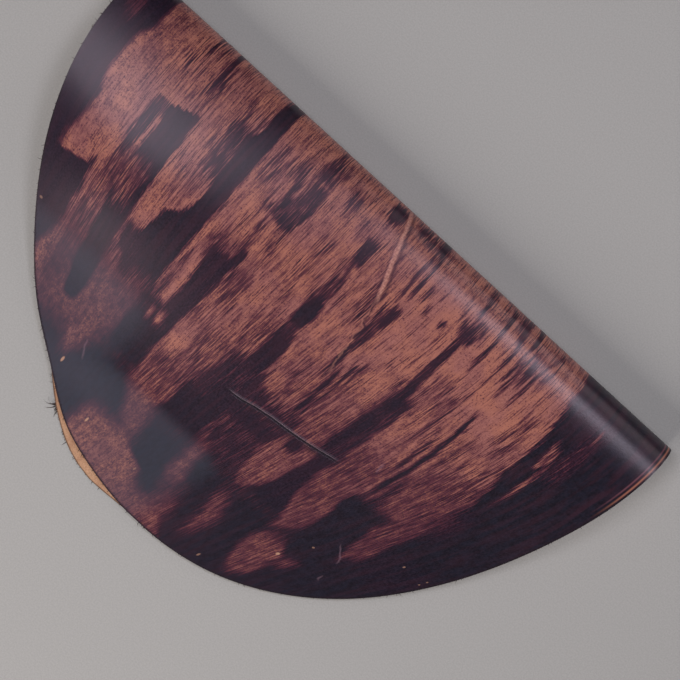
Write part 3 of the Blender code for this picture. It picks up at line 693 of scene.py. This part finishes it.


# Dark bands along both sides of the scar's ridge are painted shade, the stronger one its painted shadow
dyed = mixed(grain, beside("scar", 3.0, 2.2, 0.7, 2.0), dyed, linear("#3a1c2a"))
dyed = mixed(grain, beside("scar", -2.4, 1.4, 0.45, 1.5), dyed, linear("#4a2431"))
scar_ridge = line_of("scar", 0.6, 1.5, 1.0, 1.0)
scar_colour = mixed(grain, ranged(grain, mottle, 0.38, 0.62), linear("#a46c63"), linear("#c98f80"))
dyed = mixed(grain, calculated(grain, "MULTIPLY", scar_ridge, 0.85), dyed, scar_colour)
# A dark band along one side of the wrinkles is painted shade
dyed = mixed(grain, beside("wrinkle", 1.4, 1.0, 0.65, 7.0), dyed, linear("#2b1826"))
wrinkle_ridge = line_of("wrinkle", 0.1, 0.9, 0.45, 7.0)
dyed = mixed(grain, wrinkle_ridge, dyed, linear("#b3796b"))
# A broad dark band on one side of the crease is a painted shadow
dyed = mixed(grain, beside("crease", -1.6, 4.5, 0.6), dyed, linear("#201722"))
crease_groove = line_of("crease", 0.5, 0.9, 1.0)
# The crease's groove is darkened with painted shade; it is also dented into the relief below
dyed = mixed(grain, calculated(grain, "MULTIPLY", crease_groove, 0.9), dyed, linear("#121118"))
# A pale bluish line on the crease's other side is a painted highlight on its lip
dyed = mixed(grain, beside("crease", 1.9, 0.7, 0.28), dyed, linear("#6d6270"))
dyed = mixed(grain, line_of("crack", 0.1, 0.4, 0.45), dyed, linear("#1c1822"))
dyed = mixed(grain, line_of("scratch", 0.1, 1.0, 0.18, 3.0), dyed, linear("#b890a0"))

# Small nicks down to the pale leather, most of them near the free edge: lane, out, half sizes, depth
NICKS = (
    (-23, 250.5, 1.4, 2.3, 1.0), (36, 270, 1.3, 2.0, 1.0), (107, 272.5, 1.0, 1.5, 0.45),
    (225, 286, 1.2, 1.6, 0.5), (264, 228, 1.2, 0.8, 0.5), (257, 248, 1.6, 1.4, 1.0),
    (312, 195, 0.8, 1.0, 0.6), (333, 192, 0.6, 0.8, 0.5), (333, 197, 0.6, 0.7, 0.5),
    (-118, 175, 1.6, 1.0, 0.4),
)
for nick_lane, nick_out, half_lane, half_out, depth in NICKS:
    nick_place = add_node(
        grain, "ShaderNodeVectorMath", {0: brush, 1: (nick_lane, nick_out, 0)}, operation="SUBTRACT"
    ).outputs[0]
    nick_place = add_node(
        grain, "ShaderNodeVectorMath", {0: nick_place, 1: (1.0 / half_lane, 1.0 / half_out, 1.0)},
        operation="MULTIPLY",
    ).outputs[0]
    nick_far = add_node(
        grain, "ShaderNodeVectorMath", {0: nick_place}, operation="LENGTH"
    ).outputs["Value"]
    nick_shown = ranged(grain, nick_far, 0.55, 1.2, depth * 0.85, 0.0)
    dyed = mixed(grain, nick_shown, dyed, linear("#c99a80"))

# The edge is inked dark, and at the right end of the fold two lines beside it are worn back to copper
from_cut = value_of(grain, "from_edge")
edge_ragged = calculated(grain, "ADD", from_cut, ranged(grain, mottle, 0.3, 0.7, -0.5, 0.5))
dyed = mixed(grain, ranged(grain, edge_ragged, 0.5, 1.7, 0.9, 0.0), dyed, linear("#1d161c"))
WORN_LINES = ((2.2, 1.1, 0.9, "#b0705a"), (5.0, 1.0, 0.6, "#8d5560"))
for worn_middle, worn_half, worn_strength, worn_colour in WORN_LINES:
    worn_far = calculated(grain, "ABSOLUTE", calculated(grain, "SUBTRACT", from_cut, worn_middle))
    worn_line = ranged(grain, worn_far, 0.0, worn_half, worn_strength, 0.0)
    worn_line = calculated(grain, "MULTIPLY", worn_line, value_of(grain, "worn"))
    dyed = mixed(grain, worn_line, dyed, linear(worn_colour))

# Heights in millimetres: the scar's ridge, the crease's groove, the fine grain and the brush's hairs
relief = calculated(grain, "MULTIPLY", scar_ridge, 0.25)
relief = calculated(grain, "ADD", relief, calculated(grain, "MULTIPLY", crease_groove, -0.3))
fine_grain = noise(grain, brush, 0.7, 0.9, 2.0, 41.0)
relief = calculated(grain, "ADD", relief, calculated(grain, "MULTIPLY", fine_grain, 0.035))
relief = calculated(grain, "ADD", relief, calculated(grain, "MULTIPLY", hair_streaks, 0.03))
bump = add_node(grain, "ShaderNodeBump", {"Strength": 1.0, "Distance": MM, "Height": relief}).outputs[0]

grain_shader = grain.node_tree.nodes["Principled BSDF"]
grain.node_tree.links.new(dyed, grain_shader.inputs["Base Color"])
grain.node_tree.links.new(bump, grain_shader.inputs["Normal"])
grain.node_tree.links.new(ranged(grain, mottle, 0.3, 0.7, 0.32, 0.4), grain_shader.inputs["Roughness"])
grain_shader.inputs["IOR"].default_value = 1.45
grain_shader.inputs["Coat Weight"].default_value = 0.3
grain_shader.inputs["Coat Roughness"].default_value = 0.26
grain_shader.inputs["Coat IOR"].default_value = 1.48
grain_shader.inputs["Specular Tint"].default_value = linear("#f0d6ee")

# The flesh side is shaved to a short, matt tan nap
flesh = bpy.data.materials.new("shaved_flesh_side")
flesh.use_nodes = True
flesh_place = add_node(flesh, "ShaderNodeAttribute", attribute_name="brush").outputs["Vector"]
nap = noise(flesh, flesh_place, 1.1, 1.6, 3.0)
patches = noise(flesh, flesh_place, 18.0, 26.0, 2.0, 5.0)
flesh_colour = mixed(flesh, ranged(flesh, nap, 0.3, 0.7), linear("#b98a6c"), linear("#d8ab8b"))
flesh_colour = mixed(flesh, ranged(flesh, patches, 0.4, 0.7, 0.0, 0.4), flesh_colour, linear("#a5735a"))
stained = ranged(flesh, value_of(flesh, "from_edge"), 0.3, 1.2, 0.7, 0.0)
flesh_colour = mixed(flesh, stained, flesh_colour, linear("#3b2420"))
flesh_bump = add_node(
    flesh, "ShaderNodeBump", {"Strength": 0.6, "Distance": 0.3 * MM, "Height": nap}
).outputs[0]
flesh_shader = flesh.node_tree.nodes["Principled BSDF"]
flesh.node_tree.links.new(flesh_colour, flesh_shader.inputs["Base Color"])
flesh.node_tree.links.new(flesh_bump, flesh_shader.inputs["Normal"])
flesh_shader.inputs["Roughness"].default_value = 0.88
flesh_shader.inputs["IOR"].default_value = 1.45

# The cut edge is left raw, and the dye has soaked into it
raw_edge = bpy.data.materials.new("raw_cut_edge")
raw_edge.use_nodes = True
raw_place = add_node(raw_edge, "ShaderNodeTexCoord").outputs["Object"]
rough_cut = add_node(
    raw_edge, "ShaderNodeTexNoise", {"Vector": raw_place, "Scale": 1400.0, "Detail": 3.0}
).outputs[0]
cut_shade = ranged(raw_edge, rough_cut, 0.35, 0.65)
edge_colour = mixed(raw_edge, cut_shade, linear("#1e1519"), linear("#4a3230"))
edge_bump = add_node(
    raw_edge, "ShaderNodeBump", {"Strength": 0.8, "Distance": 0.4 * MM, "Height": rough_cut}
).outputs[0]
edge_shader = raw_edge.node_tree.nodes["Principled BSDF"]
raw_edge.node_tree.links.new(edge_colour, edge_shader.inputs["Base Color"])
raw_edge.node_tree.links.new(edge_bump, edge_shader.inputs["Normal"])
edge_shader.inputs["Roughness"].default_value = 0.8
edge_shader.inputs["IOR"].default_value = 1.45

# Loose fibres stand out of the cut edge, most of them round the left end, with one curled tuft
FIBRE_STEPS = 6
FIBRE_THICKNESS = 0.26
TUFT_THICKNESS = 0.4
TUFT_LENGTHS = (9.0, 7.5, 8.0, 5.0, 6.0, 4.0, 5.0)
TUFT_CURLS = (0.8, 1.3, 0.4, -0.8, -1.6, 1.2, -0.5)
in_tuft = len(TUFT_LENGTHS)
picked = np.random.default_rng(7)
fibre_angle = np.radians(np.concatenate([
    picked.uniform(72, 179, 150), picked.uniform(15, 72, 24), picked.uniform(-150, -94, 60),
    np.linspace(-109.2, -108.1, in_tuft),
]))
fibres_shown = len(fibre_angle)
fibre_length = picked.gamma(2.0, 0.5, fibres_shown) + 0.8
fibre_length[-in_tuft:] = TUFT_LENGTHS
fibre_curl = picked.normal(0.0, 0.7, fibres_shown)
fibre_curl[-in_tuft:] = TUFT_CURLS
fibre_rise = picked.uniform(-0.1, 0.3, fibres_shown)


def edge_place(angle, inwards):
    """The leather's middle, this far in from the cut edge at an angle round the oval."""
    radius = oval_radius(angle) - inwards
    return middle_of_leather(OVAL_CENTRE + radius * np.cos(angle), radius * np.sin(angle))


# Each fibre starts 0.3 mm inside the cut edge and is a three-sided tube along a bent path, which keeps
# off the floor and thins towards its tip
root = edge_place(fibre_angle, 0.3)
outwards = root - edge_place(fibre_angle, 2.3)
outwards = outwards / np.linalg.norm(outwards, axis=-1, keepdims=True)
sidewards = np.cross(outwards, (0.0, 0.0, 1.0))
share = np.linspace(0.0, 1.0, FIBRE_STEPS)[None, :, None]
bend = fibre_curl[:, None, None] * share
path = root[:, None, :] + fibre_length[:, None, None] * share * (
    outwards[:, None, :] * np.cos(bend) + sidewards[:, None, :] * np.sin(bend)
)
path[:, :, 2] += (fibre_rise * fibre_length)[:, None] * share[:, :, 0] ** 2
path[:, :, 2] = np.maximum(path[:, :, 2], design_centre[2] + 0.35)
ring = np.radians((90, 210, 330))[None, None, :, None]
thickness = np.full(fibres_shown, FIBRE_THICKNESS)
thickness[-in_tuft:] = TUFT_THICKNESS
thickness = thickness[:, None, None, None] * (1.2 - share)[:, :, None, :]
tube = path[:, :, None, :] + thickness * (
    np.cos(ring) * sidewards[:, None, None, :] + np.sin(ring) * np.array([0.0, 0.0, 1.0])
)
corner = np.arange(fibres_shown * FIBRE_STEPS * 3).reshape(fibres_shown, FIBRE_STEPS, 3)
low, high = corner[:, :-1], corner[:, 1:]
next_low, next_high = np.roll(low, -1, axis=2), np.roll(high, -1, axis=2)
tube_faces = np.stack([low, high, next_high, next_low], axis=-1).reshape(-1, 4)
end_faces = np.concatenate([corner[:, 0, :], corner[:, -1, ::-1]])
fibre_mesh = bpy.data.meshes.new("loose_edge_fibres")
fibre_mesh.from_pydata(
    in_row_frame(tube.reshape(-1, 3)).tolist(), [], tube_faces.tolist() + end_faces.tolist()
)
fibre_mesh.materials.append(raw_edge)
fibres = bpy.data.objects.new("loose_edge_fibres", fibre_mesh)
bpy.context.scene.collection.objects.link(fibres)
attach(fibres, "root")

for finish in (grain, flesh, raw_edge):
    shell_mesh.materials.append(finish)
shell = bpy.data.objects.new("leather_shell_dressed", shell_mesh)
bpy.context.scene.collection.objects.link(shell)
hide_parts("leather_shell")
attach(shell, "root")

# Floor, lights and camera
# The shell is seen from straight above on a plain pale board. A large soft box stands low at the lower
# left of the picture, two smaller ones hang overhead, and a weak one fills in from the upper right.
# Sizes are in metres, and the camera is turned so that the fold runs as in the photograph.
CAMERA_HEIGHT = 1.12
SEEN_WIDTH = 0.476
CAMERA_PLACE = (0.0256, 0.0455)
CAMERA_TURN = np.radians(42.54)

right_in_photo = np.array([np.cos(CAMERA_TURN), np.sin(CAMERA_TURN), 0.0])
up_in_photo = np.array([-np.sin(CAMERA_TURN), np.cos(CAMERA_TURN), 0.0])

FLOOR_REACH = 4.0
floor_corners = [
    (-FLOOR_REACH, -FLOOR_REACH, 0.0), (FLOOR_REACH, -FLOOR_REACH, 0.0),
    (FLOOR_REACH, FLOOR_REACH, 0.0), (-FLOOR_REACH, FLOOR_REACH, 0.0),
]
floor_mesh = bpy.data.meshes.new("floor")
floor_mesh.from_pydata(floor_corners, [], [(0, 1, 2, 3)])
floor = bpy.data.objects.new("floor", floor_mesh)
bpy.context.scene.collection.objects.link(floor)
board = bpy.data.materials.new("painted_board")
board.use_nodes = True
board_shader = board.node_tree.nodes["Principled BSDF"]
board_place = add_node(board, "ShaderNodeTexCoord").outputs["Object"]
board_noise = add_node(
    board, "ShaderNodeTexNoise", {"Vector": board_place, "Scale": 900.0, "Detail": 2.0}
).outputs[0]
board_shade = ranged(board, board_noise, 0.3, 0.7)
board_colour = mixed(board, board_shade, linear("#b1afae"), linear("#bab8b7"))
board.node_tree.links.new(board_colour, board_shader.inputs["Base Color"])
board_shader.inputs["Roughness"].default_value = 0.9
board_shader.inputs["Specular IOR Level"].default_value = 0.2
floor_mesh.materials.append(board)


def soft_light(name, right, up, height, size, watts, hue):
    """A square soft box, aimed at the camera's place. Right and up are metres in the photograph."""
    lamp = bpy.data.lights.new(name, "AREA")
    lamp.shape = "SQUARE"
    lamp.size = size
    lamp.energy = watts
    lamp.color = linear(hue)[:3]
    box = bpy.data.objects.new(name, lamp)
    bpy.context.scene.collection.objects.link(box)
    place = right_in_photo * right + up_in_photo * up
    place = place + np.array([CAMERA_PLACE[0], CAMERA_PLACE[1], height])
    box.location = place
    aim = np.array([CAMERA_PLACE[0], CAMERA_PLACE[1], 0.0]) - place
    box.rotation_mode = "QUATERNION"
    box.rotation_quaternion = Vector(aim.tolist()).to_track_quat("-Z", "Y")


soft_light("key_lower_left", -1.1, -1.1, 0.9, 1.0, 23.0, "#fffaf4")
soft_light("overhead_left", -0.38, 0.39, 1.5, 0.6, 5.6, "#fcfaff")
soft_light("overhead_right", 0.66, 0.22, 1.5, 0.5, 6.4, "#f8f8ff")
soft_light("fill_right", 1.25, 0.9, 0.9, 0.8, 3.2, "#fff6f4")

world = bpy.data.worlds.new("studio")
world.use_nodes = True
world.node_tree.nodes["Background"].inputs["Color"].default_value = linear("#d8dadf")
world.node_tree.nodes["Background"].inputs["Strength"].default_value = 0.035
bpy.context.scene.world = world
bpy.context.scene.view_settings.view_transform = "Standard"

camera_data = bpy.data.cameras.new("camera")
camera_data.sensor_width = 36.0
camera_data.lens = camera_data.sensor_width * CAMERA_HEIGHT / SEEN_WIDTH
camera = bpy.data.objects.new("camera", camera_data)
camera.location = (CAMERA_PLACE[0], CAMERA_PLACE[1], CAMERA_HEIGHT)
camera.rotation_euler = (0.0, 0.0, CAMERA_TURN)
bpy.context.scene.collection.objects.link(camera)
bpy.context.scene.camera = camera
